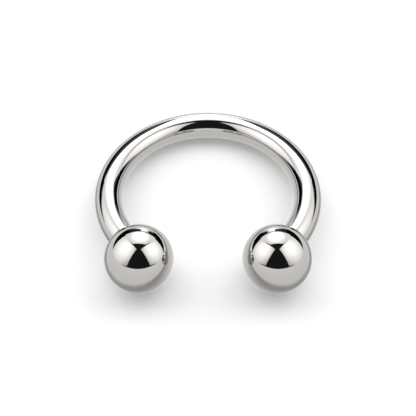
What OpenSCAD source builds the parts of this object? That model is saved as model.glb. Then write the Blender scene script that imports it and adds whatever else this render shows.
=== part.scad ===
// Horseshoe barbell: an open ring of round wire with a ball screwed on each end.
// It lies as it rests by itself, on the two balls and on the back of the ring.
// X runs left to right, Y from the balls to the back of the ring, Z up. The
// origin is on the surface below the middle of the piece. Millimetres.

/* [Ring] */
// Clear diameter inside the ring
inside_d = 7.95; // [7:0.05:12]
// Diameter of the wire, 16 gauge
wire_d = 1.25; // [1.15:0.05:1.6]
// Angle that the wire is bent through
bend_angle = 249; // [230:1:252]
// Length of straight wire at each end, up to its shoulder
straight_l = 0.06; // [0.05:0.01:0.2]

/* [Balls] */
// Diameter of the balls
ball_d = 3; // [2.8:0.1:3.6]
// Gap between a ball's seat and the shoulder of the wire
seat_gap = 0.02; // [0.01:0.01:0.04]

/* [Thread] */
// Diameter over the thread
thread_d = 0.9; // [0.8:0.05:0.9]
// Distance from one thread ridge to the next
pitch = 0.225; // [0.2:0.005:0.23]
// Number of thread ridges on each end
ridges = 5; // [3:1:5]
// Room all round the thread in its hole
thread_play = 0.03; // [0.02:0.01:0.05]

/* [Hidden] */
$fn = 96;

LEFT = -1;
RIGHT = 1;
STEEL = [0.73, 0.72, 0.71];
BALL_STEEL = [0.77, 0.76, 0.75];

wire_r = wire_d / 2;
ball_r = ball_d / 2;
thread_r = thread_d / 2;
ring_r = inside_d / 2 + wire_r;

// The thread: V ridges 0.54 of a pitch deep, on a plain neck as wide as their roots
ridge_depth = 0.54 * pitch;
root_r = thread_r - ridge_depth;
neck_l = 0.1;
pin_l = neck_l + ridges * pitch;

// The rounded edge of the shoulder, drawn as one chamfer
shoulder_edge = 0.04;

// The seat is a flat on the ball, as wide as the wire. Its distance from the
// ball's centre follows from that width.
seat_h = sqrt(pow(ball_r, 2) - pow(wire_r, 2));
hole_r = thread_r + thread_play;
hole_spare = 0.12;
hole_depth = pin_l + hole_spare;
seat_z = straight_l + seat_gap;
// A drill leaves a cone of 118 degrees
drill_tip_h = hole_r / tan(59);
mouth_edge = 0.05;

// The middle of a ball lies on the tangent where the bend stops, and ball_front
// is how far it is in front of the ring's centre
ball_reach = seat_z + seat_h;
end_turn = 90 - bend_angle / 2;
ball_front = -ring_r * sin(end_turn) + ball_reach * cos(end_turn);

// At rest the ring's plane leans back, since a ball is thicker than the wire
rest_lean = asin((ball_r - wire_r) / (ring_r + ball_front));
ring_h = wire_r + ring_r * sin(rest_lean);
back_y = ring_r * cos(rest_lean) + wire_r;
front_y = -ball_front * cos(rest_lean) - ball_r;
mid_y = (back_y + front_y) / 2;

// Puts what is drawn in the plane of the ring down in its place at rest
module at_rest() {
    translate([0, -mid_y, ring_h]) rotate([-rest_lean, 0, 0]) children();
}

// Puts what is drawn along +Z on an end of the wire, from where its bend stops
module at_end(side) {
    mirror([side == LEFT ? 1 : 0, 0, 0])
        rotate([0, 0, end_turn])
            translate([ring_r, 0, 0])
                rotate([90, 0, 0])
                    children();
}

// The bent wire
module bent_wire() {
    rotate_extrude(start = end_turn, angle = bend_angle)
        translate([ring_r, 0]) circle(r = wire_r);
}

// One side of the outline of a turned end, from its axis where the bend stops to
// its axis at the tip: straight wire, rounded shoulder, neck and thread
function end_outline() = concat(
    [[0, 0], [wire_r, 0], [wire_r, straight_l - shoulder_edge],
     [wire_r - shoulder_edge, straight_l], [root_r, straight_l], [root_r, straight_l + neck_l]],
    [for (i = [0 : ridges - 1], corner = [[1, 0.38], [1, 0.62], [0, 1]])
        [root_r + corner[0] * ridge_depth, straight_l + neck_l + (i + corner[1]) * pitch]],
    [[0, straight_l + pin_l]]
);

// The turned end of the wire, with its threaded pin
module turned_end() {
    rotate_extrude() polygon(end_outline());
}

// The bar: bent wire and its two turned ends, one solid
module curved_bar() {
    color(STEEL) at_rest() union() {
        bent_wire();
        for (side = [LEFT, RIGHT]) at_end(side) turned_end();
    }
}

// What is cut out of a ball: the flat of the seat, the drilled hole and its mouth
module ball_cuts() {
    translate([0, 0, seat_z - ball_r]) cylinder(r = ball_r, h = ball_r);
    translate([0, 0, straight_l]) cylinder(r = hole_r, h = hole_depth);
    translate([0, 0, straight_l + hole_depth]) cylinder(r1 = hole_r, r2 = 0, h = drill_tip_h);
    translate([0, 0, seat_z]) cylinder(r1 = hole_r + mouth_edge, r2 = hole_r, h = mouth_edge);
}

// A ball, drilled towards its middle, on the given end of the wire
module ball(side) {
    color(BALL_STEEL) at_rest() at_end(side) difference() {
        translate([0, 0, ball_reach]) sphere(r = ball_r);
        ball_cuts();
    }
}

module ball_left() {
    ball(LEFT);
}

module ball_right() {
    ball(RIGHT);
}

curved_bar();
ball_left();
ball_right();
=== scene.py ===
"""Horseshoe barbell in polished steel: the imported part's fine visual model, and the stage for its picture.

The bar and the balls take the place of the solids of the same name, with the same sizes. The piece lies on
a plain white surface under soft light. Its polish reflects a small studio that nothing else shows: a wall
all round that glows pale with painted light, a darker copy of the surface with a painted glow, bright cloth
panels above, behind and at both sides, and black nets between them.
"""

from collections import namedtuple
from math import acos, asin, atan2, cos, pi, radians, sin, sqrt, tan

import bmesh
import bpy
from bpy.props import FloatProperty, FloatVectorProperty, IntProperty, PointerProperty
from mathutils import Matrix, Vector


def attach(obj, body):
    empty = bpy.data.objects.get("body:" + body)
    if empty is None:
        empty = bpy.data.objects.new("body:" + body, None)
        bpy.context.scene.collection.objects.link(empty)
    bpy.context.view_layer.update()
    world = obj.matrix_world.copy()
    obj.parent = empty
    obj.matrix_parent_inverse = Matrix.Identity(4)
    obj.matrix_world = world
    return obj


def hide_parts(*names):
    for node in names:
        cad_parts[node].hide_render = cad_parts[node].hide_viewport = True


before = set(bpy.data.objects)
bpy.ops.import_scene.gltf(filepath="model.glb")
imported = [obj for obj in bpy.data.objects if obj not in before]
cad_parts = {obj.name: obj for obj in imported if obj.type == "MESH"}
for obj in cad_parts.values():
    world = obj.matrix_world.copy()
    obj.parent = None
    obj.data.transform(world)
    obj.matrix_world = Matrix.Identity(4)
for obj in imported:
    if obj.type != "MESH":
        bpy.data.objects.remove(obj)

bl_info = {
    "name": "Horseshoe barbell",
    "version": (1, 0, 0),
    "blender": (4, 5, 0),
    "location": "View3D > Sidebar > Barbell",
    "description": "A horseshoe barbell in polished steel, with the stage for its picture",
    "category": "Object",
}

MM = 0.001
LEFT, RIGHT = -1, 1
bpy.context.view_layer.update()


# Colours and sizes

def srgb(code):
    """A colour written as an sRGB hex value, as the linear colour that Blender works in."""
    channels = [int(code[i:i + 2], 16) / 255 for i in (1, 3, 5)]
    return tuple(c / 12.92 if c <= 0.04045 else ((c + 0.055) / 1.055) ** 2.4 for c in channels)


def length(name, description, default):
    """A length in millimetres that the user may change, but not to nothing."""
    return FloatProperty(name=name, description=description, default=default * MM, min=0.001 * MM,
                         precision=5, unit="LENGTH")


class BarbellSizes(bpy.types.PropertyGroup):
    """The part's own sizes, the same as in its source."""

    ring_r: length("Ring radius", "From the ring's centre to the middle of the wire", 4.6)
    wire_r: length("Wire radius", "Half the thickness of the 16 gauge wire", 0.625)
    bend: FloatProperty(name="Bend", description="Angle that the wire is bent through",
                        default=radians(249), subtype="ANGLE")
    straight: length("Straight end", "Straight wire from the bend to the shoulder", 0.06)
    shoulder_edge: length("Shoulder rounding", "Radius of the shoulder's edge", 0.04)
    seat_gap: length("Seat gap", "From the shoulder to the ball's seat", 0.02)
    ball_r: length("Ball radius", "Half the diameter of a ball", 1.5)
    thread_r: length("Thread radius", "Half the diameter over the thread", 0.45)
    pitch: length("Thread pitch", "From one turn of the thread to the next", 0.225)
    turns: IntProperty(name="Thread turns", description="Turns of thread on each end", default=5, min=2)
    neck: length("Neck", "Plain neck between the shoulder and the thread", 0.1)
    hole_r: length("Hole radius", "Half the diameter of the threaded hole in a ball", 0.48)
    hole_spare: length("Spare depth", "Depth of the hole past the end of the pin", 0.12)
    hole_chamfer: length("Hole chamfer", "Width of the bevel round the mouth of the hole", 0.05)
    drill_point: FloatProperty(name="Drill point", description="Angle of the cone that ends the hole",
                               default=radians(118), subtype="ANGLE")


class SteelFinish(bpy.types.PropertyGroup):
    """How the steel is finished."""

    bar_colour: FloatVectorProperty(name="Bar colour", description="Colour of the polished wire",
                                    default=srgb("#B4B2B0"), subtype="COLOR", min=0.0, max=1.0)
    ball_colour: FloatVectorProperty(name="Ball colour", description="Colour of the polished balls",
                                     default=srgb("#B4B2B0"), subtype="COLOR", min=0.0, max=1.0)
    roughness: FloatProperty(name="Roughness", description="Roughness of the best polished places",
                             default=0.03, min=0.0, max=1.0, subtype="FACTOR")
    haze: FloatProperty(name="Haze", description="Roughness that the buffing wheel leaves in patches",
                        default=0.03, min=0.0, max=1.0, subtype="FACTOR")
    haze_patch: length("Haze patch", "Width of a patch of haze", 0.5)


class StudioSettings(bpy.types.PropertyGroup):
    """Camera and surface."""

    focal_length: FloatProperty(name="Focal length", description="Focal length of the lens in millimetres",
                                default=64.117)
    look_down: FloatProperty(name="Look down", description="Angle that the camera looks down by",
                             default=radians(55.273), subtype="ANGLE")
    camera_distance: length("Camera distance", "From the camera to the point that it looks at", 35.418)
    target_height: FloatProperty(name="Target height", description="Height of the point that is looked at",
                                 default=-0.0752 * MM, unit="LENGTH", precision=5)
    paper: FloatVectorProperty(name="Paper", description="Colour of the surface that the piece lies on",
                               default=srgb("#F7F7F7"), subtype="COLOR", min=0.0, max=1.0)


# Placing

def end_angle(sizes):
    """Where the right end of the bend lies round the ring, measured from +X. It is below zero, since the
    wire goes on past half a ring."""
    return pi / 2 - sizes.bend / 2


def seat_height(sizes):
    """From a ball's centre to its flat seat, which is as wide as the wire."""
    return sqrt(sizes.ball_r ** 2 - sizes.wire_r ** 2)


def rest_frame(sizes):
    """The place of the ring's own plane while the piece rests on its balls and on the back of the ring."""
    end_turn = end_angle(sizes)
    ball_reach = sizes.straight + sizes.seat_gap + seat_height(sizes)
    ball_front = -sizes.ring_r * sin(end_turn) + ball_reach * cos(end_turn)
    lean = asin((sizes.ball_r - sizes.wire_r) / (sizes.ring_r + ball_front))
    height = sizes.wire_r + sizes.ring_r * sin(lean)
    back = sizes.ring_r * cos(lean) + sizes.wire_r
    front = -ball_front * cos(lean) - sizes.ball_r
    middle = (back + front) / 2
    return Matrix.Translation((0, -middle, height)) @ Matrix.Rotation(-lean, 4, "X")


def end_frame(sizes, side):
    """The place of one end of the wire in the ring's plane: local Z runs out along the wire from its bend."""
    place = (Matrix.Rotation(end_angle(sizes), 4, "Z") @ Matrix.Translation((sizes.ring_r, 0, 0))
             @ Matrix.Rotation(pi / 2, 4, "X"))
    if side == LEFT:
        return Matrix.Scale(-1, 4, (1, 0, 0)) @ place
    return place


# Meshes

def open_chain(bm, points):
    """Vertices joined into one open line."""
    verts = [bm.verts.new(p) for p in points]
    edges = [bm.edges.new(pair) for pair in zip(verts, verts[1:])]
    return verts, edges


def spin_outline(bm, points, steps):
    """Turns an outline in the XZ plane once round the Z axis."""
    verts, edges = open_chain(bm, points)
    bmesh.ops.spin(bm, geom=verts + edges, cent=(0, 0, 0), axis=(0, 0, 1), dvec=(0, 0, 0),
                   angle=2 * pi, steps=steps, use_merge=True, use_duplicate=False)


def round_edge(centre_x, centre_z, radius, start, end, steps):
    """Points on an arc in the XZ plane, from one angle to another, both measured from +X towards +Z."""
    return [(centre_x + radius * cos(start + (end - start) * i / steps), 0,
             centre_z + radius * sin(start + (end - start) * i / steps)) for i in range(steps + 1)]


def copy_into(target, source):
    """Adds one bmesh to another, and frees it."""
    mesh = bpy.data.meshes.new("passing")
    source.to_mesh(mesh)
    source.free()
    target.from_mesh(mesh)
    bpy.data.meshes.remove(mesh)


def finish_mesh(name, bm, body, node, material, merge=1e-7, crease=radians(35)):
    """Cleans a mesh and makes it the piece that stands for a CAD node."""
    bmesh.ops.remove_doubles(bm, verts=bm.verts, dist=merge)
    bmesh.ops.recalc_face_normals(bm, faces=bm.faces)
    mesh = bpy.data.meshes.new(name)
    bm.to_mesh(mesh)
    bm.free()
    mesh.shade_smooth()
    mesh.set_sharp_from_angle(angle=crease)
    mesh.materials.append(material)
    piece = bpy.data.objects.new(name, mesh)
    bpy.context.scene.collection.objects.link(piece)
    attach(piece, body)
    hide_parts(node)


# Node graphs

def add_node(tree, kind, settings=None, inputs=None):
    """Adds a node. inputs maps a socket's name or number to a value or to the socket that feeds it."""
    node = tree.nodes.new(kind)
    for key, value in (settings or {}).items():
        setattr(node, key, value)
    for key, value in (inputs or {}).items():
        if isinstance(value, bpy.types.NodeSocket):
            tree.links.new(value, node.inputs[key])
        else:
            node.inputs[key].default_value = value
    return node


def new_material(name):
    """An empty node material and its tree."""
    material = bpy.data.materials.new(name)
    material.use_nodes = True
    material.node_tree.nodes.clear()
    return material, material.node_tree


# The levels of the noise where a patch of haze begins and where it is full
HAZE_BEGINS, HAZE_FULL = 0.4, 0.7


def polished_steel(name, colour, finish):
    """Surgical stainless steel, turned and then buffed on a cloth wheel to a mirror. The eye gets sharp
    reflections of a grey, faintly warm metal, with a breath of haze in small patches."""
    material, tree = new_material(name)
    place = add_node(tree, "ShaderNodeTexCoord").outputs["Object"]
    patches = add_node(tree, "ShaderNodeTexNoise", {"noise_dimensions": "3D"},
                       {"Vector": place, "Scale": 1 / finish.haze_patch, "Detail": 2.0, "Roughness": 0.5})
    roughness = add_node(tree, "ShaderNodeMapRange", {},
                         {"Value": patches.outputs["Fac"], "From Min": HAZE_BEGINS, "From Max": HAZE_FULL,
                          "To Min": finish.roughness, "To Max": finish.roughness + finish.haze})
    shader = add_node(tree, "ShaderNodeBsdfPrincipled", {},
                      {"Base Color": (*colour, 1.0), "Metallic": 1.0,
                       "Roughness": roughness.outputs["Result"]})
    add_node(tree, "ShaderNodeOutputMaterial", {}, {"Surface": shader.outputs["BSDF"]})
    return material


# The bar

# Mesh steps: round the wire, along its bend, round the shoulder's edge, and round one turn of the thread
WIRE_SEGMENTS = 96
BEND_STEPS = 250
EDGE_STEPS = 6
THREAD_STEPS = 48

# The thread's ridge, in parts of its pitch: how high it is, half its foot and half its flat crest
RIDGE_HEIGHT = 0.54
RIDGE_FOOT = 0.48
RIDGE_CREST = 0.12
# How far the foot is sunk into the pin, in parts of the ridge's height
RIDGE_SUNK = 0.2
# Part of a turn that the ridge takes to come up to its full height, and the height that it starts with
RUN_OUT = 0.3
RUN_OUT_HEIGHT = 0.1


class BARBELL_OT_curved_bar(bpy.types.Operator):
    """Bends the wire and turns its threaded ends"""

    bl_idname = "barbell.curved_bar"
    bl_label = "Curved bar"

    def execute(self, context):
        sizes = context.scene.barbell_sizes
        finish = context.scene.barbell_finish
        bm = bmesh.new()
        self.bent_wire(bm, sizes)
        for side in (LEFT, RIGHT):
            self.turned_end(bm, sizes, side)
        bmesh.ops.transform(bm, matrix=rest_frame(sizes), verts=bm.verts)
        steel = polished_steel("buffed_steel_bar", finish.bar_colour, finish)
        finish_mesh("bar_polished", bm, "bar", "curved_bar", steel)
        return {"FINISHED"}

    def bent_wire(self, bm, sizes):
        """Sweeps the wire's round section through the bend."""
        section = bmesh.ops.create_circle(bm, cap_ends=False, segments=WIRE_SEGMENTS,
                                          radius=sizes.wire_r, matrix=end_frame(sizes, RIGHT))
        edges = list({e for v in section["verts"] for e in v.link_edges})
        bmesh.ops.spin(bm, geom=section["verts"] + edges, cent=(0, 0, 0), axis=(0, 0, 1), dvec=(0, 0, 0),
                       angle=sizes.bend, steps=BEND_STEPS, use_merge=False, use_duplicate=False)

    def turned_end(self, bm, sizes, side):
        """The straight end of the wire, its shoulder, and the pin with its thread."""
        end = bmesh.new()
        ridge = RIDGE_HEIGHT * sizes.pitch
        root_r = sizes.thread_r - ridge
        pin_end = sizes.straight + sizes.neck + sizes.turns * sizes.pitch
        edge = sizes.shoulder_edge
        outline = [(sizes.wire_r, 0, 0)]
        outline += round_edge(sizes.wire_r - edge, sizes.straight - edge, edge, 0, pi / 2, EDGE_STEPS)
        outline += [(root_r, 0, sizes.straight), (root_r, 0, pin_end - edge / 2),
                    (root_r - edge / 2, 0, pin_end), (0, 0, pin_end)]
        spin_outline(end, outline, WIRE_SEGMENTS)
        self.thread(end, sizes, root_r, ridge)
        bmesh.ops.transform(end, matrix=end_frame(sizes, side), verts=end.verts)
        copy_into(bm, end)

    def thread(self, bm, sizes, root_r, ridge):
        """One V ridge wound round the pin, which comes up out of it and runs back into it."""
        sunk_r = root_r - RIDGE_SUNK * ridge
        crest_r = root_r + ridge
        foot, crest = RIDGE_FOOT * sizes.pitch, RIDGE_CREST * sizes.pitch
        start = sizes.straight + sizes.neck + sizes.pitch / 2
        section = [(sunk_r, 0, start - foot), (crest_r, 0, start - crest),
                   (crest_r, 0, start + crest), (sunk_r, 0, start + foot)]
        face = bm.faces.new([bm.verts.new(corner) for corner in section])
        turns = sizes.turns - 1
        steps = turns * THREAD_STEPS
        before = len(bm.verts) - len(section)
        bmesh.ops.spin(bm, geom=[*face.verts, *face.edges, face], cent=(0, 0, 0), axis=(0, 0, 1),
                       dvec=(0, 0, turns * sizes.pitch / steps), angle=2 * pi * turns, steps=steps,
                       use_merge=False, use_duplicate=False)
        bm.verts.ensure_lookup_table()
        for vert in bm.verts[before:]:
            if vert.co.xy.length < root_r:
                continue
            turn = atan2(vert.co.y, vert.co.x) / (2 * pi) % 1
            done = turn + round((vert.co.z - start) / sizes.pitch - turn)
            height = min(1, max(RUN_OUT_HEIGHT, min(done, turns - done) / RUN_OUT))
            radius = sunk_r + (crest_r - sunk_r) * height
            vert.co.xy = vert.co.xy * (radius / crest_r)


# The balls

# Mesh steps: round a ball, and along its outline from the seat to the far pole
BALL_SEGMENTS = 128
BALL_STEPS = 110


class BARBELL_OT_balls(bpy.types.Operator):
    """Turns and drills the two balls"""

    bl_idname = "barbell.balls"
    bl_label = "Balls"

    def execute(self, context):
        sizes = context.scene.barbell_sizes
        finish = context.scene.barbell_finish
        steel = polished_steel("buffed_steel_ball", finish.ball_colour, finish)
        for side, name in ((LEFT, "left"), (RIGHT, "right")):
            bm = bmesh.new()
            spin_outline(bm, self.outline(sizes), BALL_SEGMENTS)
            bmesh.ops.transform(bm, matrix=rest_frame(sizes) @ end_frame(sizes, side), verts=bm.verts)
            finish_mesh(f"ball_{name}_polished", bm, f"{name}_end", f"ball_{name}", steel)
        return {"FINISHED"}

    def outline(self, sizes):
        """Half the section of a ball, from the tip of the drilled hole round to the far pole."""
        seat = sizes.straight + sizes.seat_gap
        seat_h = seat_height(sizes)
        middle = seat + seat_h
        pin = sizes.neck + sizes.turns * sizes.pitch
        hole_end = sizes.straight + pin + sizes.hole_spare
        tip = hole_end + sizes.hole_r / tan(sizes.drill_point / 2)
        mouth = sizes.hole_chamfer
        start = -atan2(seat_h, sizes.wire_r)
        return ([(0, 0, tip), (sizes.hole_r, 0, hole_end), (sizes.hole_r, 0, seat + mouth),
                 (sizes.hole_r + mouth, 0, seat)]
                + round_edge(0, middle, sizes.ball_r, start, pi / 2, BALL_STEPS)[:-1]
                + [(0, 0, middle + sizes.ball_r)])


# The studio's measures, in millimetres and degrees

# What the camera sees from and to
CLIP = (1, 2000)

# The surface that the piece lies on, and a round copy of it that only the steel shows, with painted shade and
# a painted glow, which fades out between two distances from the middle
SURFACE_R = 400
REFLECTED_R = 9.5
REFLECTED_FADE = (6.5, 9)
SURFACE_SEGMENTS = 64

# The colour of the reflected copy: painted shade, darker than the surface. Its painted glow is strong inside
# the ring and weak outside, falling between two distances from the middle
SHADED_REFLECTED_PAPER = "#CBCBCA"
PAINTED_GLOW_LEVELS = (0.72, 0.1)
PAINTED_GLOW_FALLS = (3, 7.5)

# The light from all round on the surface, what is left of it in the steel, and the backdrop's brightness
AROUND = 0.62
DARK = 0.018
BACKDROP = 1.0
# Each soft light: its direction, how wide it spreads, and its share of the light on the surface
SOFT_LIGHTS = (
    ("left", (-1, 0.6, 0.8), 60, 0.2),
    ("right", (1, 0.6, 0.8), 60, 0.22),
    ("top", (0, 0.4, 1), 50, 0.2),
)

# The reflected studio is made up. Much of its sheets and wall was fitted by a program to the reflections
# in the photo, and the rest was given. It leans back by this angle round the middle of the piece.
LEAN = Matrix.Rotation(radians(-27), 3, "X")
MIDDLE = Vector((0, 0, 1.5))

# A sheet is square to the direction given by its turn from the back and its rise, at a distance. Corners
# and spot are places on it, across and up. A light panel has a level at its edge and a peak at its spot,
# which spreads so far across and up. A dark card keeps off the share of the light that cover gives. Each
# sheet off the middle is hung once more as its mirror image.
LightPanel = namedtuple("LightPanel", "turn rise distance corners spot spread edge peak")
DarkCard = namedtuple("DarkCard", "turn rise distance corners cover")
LIGHT_PANELS = {
    "back": LightPanel(0, 11.3, 54, ((-32.1, 41.7), (32.1, 41.7), (12.8, -29.9), (-12.8, -29.9)),
                       spot=(0, 27.7), spread=(14.9, 13.5), edge=0.43, peak=2.77),
    "top": LightPanel(0, 86.4, 42, ((-15, 13.3), (15, 13.3), (57, -28.5), (-57, -28.5)),
                      spot=(0, -11.7), spread=(11.5, 13), edge=1.45, peak=5.9),
    "side": LightPanel(-98, 30.4, 31.4, ((-38.9, -17.1), (-27.5, 33.5), (15.7, 7.8), (10.5, -20.7)),
                       spot=(-8, 7.8), spread=(26, 28), edge=0.5, peak=1.9),
}
DARK_CARDS = {
    "bar": DarkCard(-113.8, 13.6, 17.7, ((6.0, -5.9), (22.1, -9.9), (41.5, 10.7), (19.8, 19.0)),
                    cover=0.91),
    "wing": DarkCard(0, 90, 10, ((2.2, -5.4), (34.0, -9.5), (26.0, -26.0), (2.2, -11.0)), cover=0.95),
}

# The wall stands on an ellipse: its middle's place along Y, and its half axes along X and Y. Its rim's
# height is a sum of cosines of the angle from the front. Its painted glow has a level and a slope.
WALL_PLAN = (-8.0, 17.75, 18.0)
WALL_RIM = (6.22, 5.25, 0.8, -0.31)
WALL_FOOT = -0.5
WALL_SEGMENTS = 96
WALL_GLOW_LEVEL = 1.18
WALL_GLOW_SLOPE = (0, -0.082, 0.229)


# The stage

def stage_object(scene, name, bm, material):
    """An object of the stage, which isn't part of the piece."""
    mesh = bpy.data.meshes.new(name)
    bm.to_mesh(mesh)
    bm.free()
    mesh.materials.append(material)
    obj = bpy.data.objects.new(name, mesh)
    scene.collection.objects.link(obj)
    return obj


def show_only_in_reflections(obj, only_there):
    """Makes an object of the stage seen in the steel alone, or by everything except the steel."""
    obj.visible_glossy = only_there
    obj.visible_camera = not only_there
    obj.visible_diffuse = not only_there
    obj.visible_shadow = not only_there
    obj.visible_transmission = not only_there


def hang(scene, name, sheet, material):
    """Hangs a sheet of the studio, and its mirror image too if it is off the middle."""
    off_middle = sheet.turn or sum(x for x, y in sheet.corners)
    for side in ((1, -1) if off_middle else (1,)):
        turn, rise = radians(side * sheet.turn), radians(sheet.rise)
        normal = Vector((sin(turn) * cos(rise), cos(turn) * cos(rise), sin(rise)))
        across = Vector((cos(turn), -sin(turn), 0))
        up = across.cross(normal)
        spot_x, spot_y = getattr(sheet, "spot", (0, 0))
        centre = MIDDLE + LEAN @ (normal * sheet.distance + across * side * spot_x + up * spot_y)
        axes = Matrix((LEAN @ across, LEAN @ up, LEAN @ across.cross(up))).transposed()
        bm = bmesh.new()
        verts = [bm.verts.new((side * (x - spot_x) * MM, (y - spot_y) * MM, 0)) for x, y in sheet.corners]
        bmesh.ops.contextual_create(bm, geom=verts)
        obj = stage_object(scene, name if side == 1 else f"{name}_mirrored", bm, material)
        obj.matrix_world = Matrix.Translation(centre * MM) @ axes.to_4x4()
        show_only_in_reflections(obj, True)


class BARBELL_OT_stage(bpy.types.Operator):
    """Sets up the surface, the light and the camera"""

    bl_idname = "barbell.stage"
    bl_label = "Stage"

    def execute(self, context):
        scene = context.scene
        studio = scene.barbell_studio
        scene.view_settings.view_transform = "Standard"
        self.camera(scene, studio)
        self.surface(scene, studio)
        self.soft_light(scene)
        for name, panel in LIGHT_PANELS.items():
            hang(scene, f"light_panel_{name}", panel, self.lamp_cloth(name, panel))
        for name, card in DARK_CARDS.items():
            hang(scene, f"dark_card_{name}", card, self.black_net(name, card))
        self.wall(scene)
        return {"FINISHED"}

    def camera(self, scene, studio):
        """The camera of the photograph: straight in front of the piece, looking down on it."""
        data = bpy.data.cameras.new("camera")
        data.lens = studio.focal_length
        data.clip_start, data.clip_end = (reach * MM for reach in CLIP)
        camera = bpy.data.objects.new("camera", data)
        back = Vector((0, -cos(studio.look_down), sin(studio.look_down)))
        place = Vector((0, 0, studio.target_height)) + back * studio.camera_distance
        tilt = Matrix.Rotation(pi / 2 - studio.look_down, 4, "X")
        camera.matrix_world = Matrix.Translation(place) @ tilt
        scene.collection.objects.link(camera)
        scene.camera = camera

    def surface(self, scene, studio):
        """The white surface that the piece lies on, and a copy of it, darker and with a painted glow, that
        only the steel shows.
        """
        for name, radius, material, reflected in (
                ("surface", SURFACE_R, self.paper(studio), False),
                ("reflected_surface_shaded_glowing", REFLECTED_R, self.shaded_glowing_reflected_card(), True)):
            bm = bmesh.new()
            bmesh.ops.create_circle(bm, cap_ends=True, segments=SURFACE_SEGMENTS, radius=radius * MM)
            show_only_in_reflections(stage_object(scene, name, bm, material), reflected)

    def paper(self, studio):
        """Coated white card, printed bright: flat and without any grain at this size."""
        material, tree = new_material("white_card")
        shader = add_node(tree, "ShaderNodeBsdfDiffuse", {}, {"Color": (*studio.paper, 1.0)})
        add_node(tree, "ShaderNodeOutputMaterial", {}, {"Surface": shader.outputs["BSDF"]})
        return material

    def shaded_glowing_reflected_card(self):
        """A copy of the card that only the steel shows, darker than the card itself: painted shade. Its
        painted glow is strong inside the ring, so that its shadows stay light there. It fades out to the
        wall's own floor."""
        material, tree = new_material("white_card_reflected_shaded_glowing")
        place = add_node(tree, "ShaderNodeTexCoord").outputs["Object"]
        radius = add_node(tree, "ShaderNodeVectorMath", {"operation": "LENGTH"}, {0: place}).outputs["Value"]
        fade = add_node(tree, "ShaderNodeMapRange", {"interpolation_type": "SMOOTHSTEP"},
                        {"Value": radius, "From Min": REFLECTED_FADE[0] * MM,
                         "From Max": REFLECTED_FADE[1] * MM})
        # Painted glow: strong inside the ring and weak outside, with no lamp behind it
        strength = add_node(tree, "ShaderNodeMapRange", {"interpolation_type": "SMOOTHSTEP"},
                            {"Value": radius, "From Min": PAINTED_GLOW_FALLS[0] * MM,
                             "From Max": PAINTED_GLOW_FALLS[1] * MM,
                             "To Min": PAINTED_GLOW_LEVELS[0], "To Max": PAINTED_GLOW_LEVELS[1]})
        # Painted shade: this copy of the card is darker than the surface that the camera sees
        card = add_node(tree, "ShaderNodeBsdfDiffuse", {}, {"Color": (*srgb(SHADED_REFLECTED_PAPER), 1.0)})
        card_glow = add_node(tree, "ShaderNodeEmission", {}, {"Strength": strength.outputs["Result"]})
        card_and_glow = add_node(tree, "ShaderNodeAddShader", {}, {0: card.outputs[0], 1: card_glow.outputs[0]})
        clear = add_node(tree, "ShaderNodeBsdfTransparent")
        mix = add_node(tree, "ShaderNodeMixShader", {},
                       {0: fade.outputs["Result"], 1: card_and_glow.outputs[0], 2: clear.outputs[0]})
        add_node(tree, "ShaderNodeOutputMaterial", {}, {"Surface": mix.outputs["Shader"]})
        return material

    def soft_light(self, scene):
        """Light from all round, which the steel shows as dark, a white backdrop for the camera, and three
        wide soft lights, which make the soft shadows and aren't seen in the steel."""
        world = bpy.data.worlds.new("studio")
        world.use_nodes = True
        tree = world.node_tree
        tree.nodes.clear()
        ray = add_node(tree, "ShaderNodeLightPath")
        around, dark, backdrop = (
            add_node(tree, "ShaderNodeBackground", {}, {"Color": (1, 1, 1, 1), "Strength": level}).outputs[0]
            for level in (AROUND, DARK, BACKDROP))
        light = add_node(tree, "ShaderNodeMixShader", {},
                         {0: ray.outputs["Is Glossy Ray"], 1: around, 2: dark})
        all_rays = add_node(tree, "ShaderNodeMixShader", {},
                            {0: ray.outputs["Is Camera Ray"], 1: light.outputs[0], 2: backdrop})
        add_node(tree, "ShaderNodeOutputWorld", {}, {"Surface": all_rays.outputs[0]})
        scene.world = world
        for name, direction, spread, share in SOFT_LIGHTS:
            data = bpy.data.lights.new(f"soft_light_{name}", "SUN")
            data.angle = radians(spread)
            towards = Vector(direction).normalized()
            data.energy = share * pi / towards.z
            lamp = bpy.data.objects.new(data.name, data)
            lamp.matrix_world = towards.to_track_quat("Z", "Y").to_matrix().to_4x4()
            lamp.visible_glossy = False
            scene.collection.objects.link(lamp)

    def lamp_cloth(self, name, panel):
        """White cloth stretched in front of a lamp, brightest where the lamp is."""
        material, tree = new_material(f"lamp_cloth_{name}")
        place = add_node(tree, "ShaderNodeTexCoord").outputs["Object"]
        scaled = add_node(tree, "ShaderNodeMapping", {},
                          {"Vector": place, "Scale": (*(1 / (s * MM) for s in panel.spread), 1)})
        reach = add_node(tree, "ShaderNodeVectorMath", {"operation": "DOT_PRODUCT"},
                         {0: scaled.outputs[0], 1: scaled.outputs[0]})
        falling = add_node(tree, "ShaderNodeMath", {"operation": "MULTIPLY"},
                           {0: reach.outputs["Value"], 1: -1.0})
        glow = add_node(tree, "ShaderNodeMath", {"operation": "EXPONENT"}, {0: falling.outputs[0]})
        strength = add_node(tree, "ShaderNodeMath", {"operation": "MULTIPLY_ADD"},
                            {0: glow.outputs[0], 1: panel.peak, 2: panel.edge})
        lamp = add_node(tree, "ShaderNodeEmission", {}, {"Strength": strength.outputs[0]})
        add_node(tree, "ShaderNodeOutputMaterial", {}, {"Surface": lamp.outputs[0]})
        return material

    def black_net(self, name, card):
        """Black net on a frame, as photographers use it to keep light off: it lets a little through."""
        material, tree = new_material(f"black_net_{name}")
        net = add_node(tree, "ShaderNodeBsdfTransparent", {}, {"Color": (*[1 - card.cover] * 3, 1.0)})
        add_node(tree, "ShaderNodeOutputMaterial", {}, {"Surface": net.outputs["BSDF"]})
        return material

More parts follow.
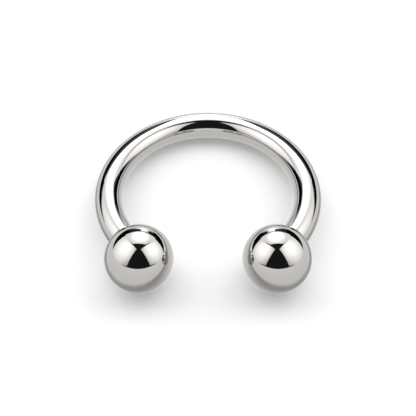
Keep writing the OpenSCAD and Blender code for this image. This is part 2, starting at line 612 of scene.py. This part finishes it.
    def wall(self, scene):
        """The wall round the piece, which glows pale with painted light, and whose rim is the horizon in the
        reflections: high in front and low at the back. Its floor closes it at the bottom."""
        centre_y, half_x, half_y = WALL_PLAN
        bm = bmesh.new()
        bmesh.ops.create_circle(bm, cap_ends=False, segments=WALL_SEGMENTS, radius=1.0)
        for vert in bm.verts:
            from_front = acos(max(-1.0, min(1.0, -vert.co.y)))
            rim = sum(share * cos(n * from_front) for n, share in enumerate(WALL_RIM))
            vert.co = Vector((vert.co.x * half_x, centre_y + vert.co.y * half_y, rim - MIDDLE.z)) * MM
        foot = bmesh.ops.extrude_edge_only(bm, edges=bm.edges[:])["geom"]
        for vert in (part for part in foot if isinstance(part, bmesh.types.BMVert)):
            vert.co.z = (WALL_FOOT - MIDDLE.z) * MM
        bmesh.ops.contextual_create(bm, geom=[part for part in foot if isinstance(part, bmesh.types.BMEdge)])
        wall = stage_object(scene, "wall", bm, self.wall_painted_glow())
        wall.location = MIDDLE * MM
        show_only_in_reflections(wall, True)

    def wall_painted_glow(self):
        """A painted glow in place of white paper under lamps: a little brighter higher up and towards the
        front.
        """
        material, tree = new_material("wall_painted_glow")
        place = add_node(tree, "ShaderNodeTexCoord").outputs["Object"]
        away = add_node(tree, "ShaderNodeVectorMath", {"operation": "NORMALIZE"}, {0: place})
        # Painted light: the glow grows brighter higher up and towards the front
        slope = add_node(tree, "ShaderNodeVectorMath", {"operation": "DOT_PRODUCT"},
                         {0: away.outputs[0], 1: LEAN @ Vector(WALL_GLOW_SLOPE)})
        strength = add_node(tree, "ShaderNodeMath", {"operation": "ADD"},
                            {0: slope.outputs["Value"], 1: WALL_GLOW_LEVEL})
        glow = add_node(tree, "ShaderNodeEmission", {}, {"Strength": strength.outputs[0]})
        add_node(tree, "ShaderNodeOutputMaterial", {}, {"Surface": glow.outputs[0]})
        return material


class BARBELL_PT_panel(bpy.types.Panel):
    """The pieces and their settings"""

    bl_idname = "BARBELL_PT_panel"
    bl_label = "Horseshoe barbell"
    bl_space_type = "VIEW_3D"
    bl_region_type = "UI"
    bl_category = "Barbell"

    def draw(self, context):
        for operator in OPERATORS:
            self.layout.operator(operator.bl_idname)
        for name, group in SETTINGS.items():
            box = self.layout.box()
            for key in group.__annotations__:
                box.prop(getattr(context.scene, name), key)


OPERATORS = (BARBELL_OT_curved_bar, BARBELL_OT_balls, BARBELL_OT_stage)
SETTINGS = {"barbell_sizes": BarbellSizes, "barbell_finish": SteelFinish, "barbell_studio": StudioSettings}
CLASSES = (*SETTINGS.values(), *OPERATORS, BARBELL_PT_panel)


def register():
    for cls in CLASSES:
        bpy.utils.register_class(cls)
    for name, group in SETTINGS.items():
        setattr(bpy.types.Scene, name, PointerProperty(type=group))


def unregister():
    for name in SETTINGS:
        delattr(bpy.types.Scene, name)
    for cls in reversed(CLASSES):
        bpy.utils.unregister_class(cls)


def main():
    register()
    bpy.ops.barbell.curved_bar()
    bpy.ops.barbell.balls()
    bpy.ops.barbell.stage()


if __name__ == "__main__":
    main()
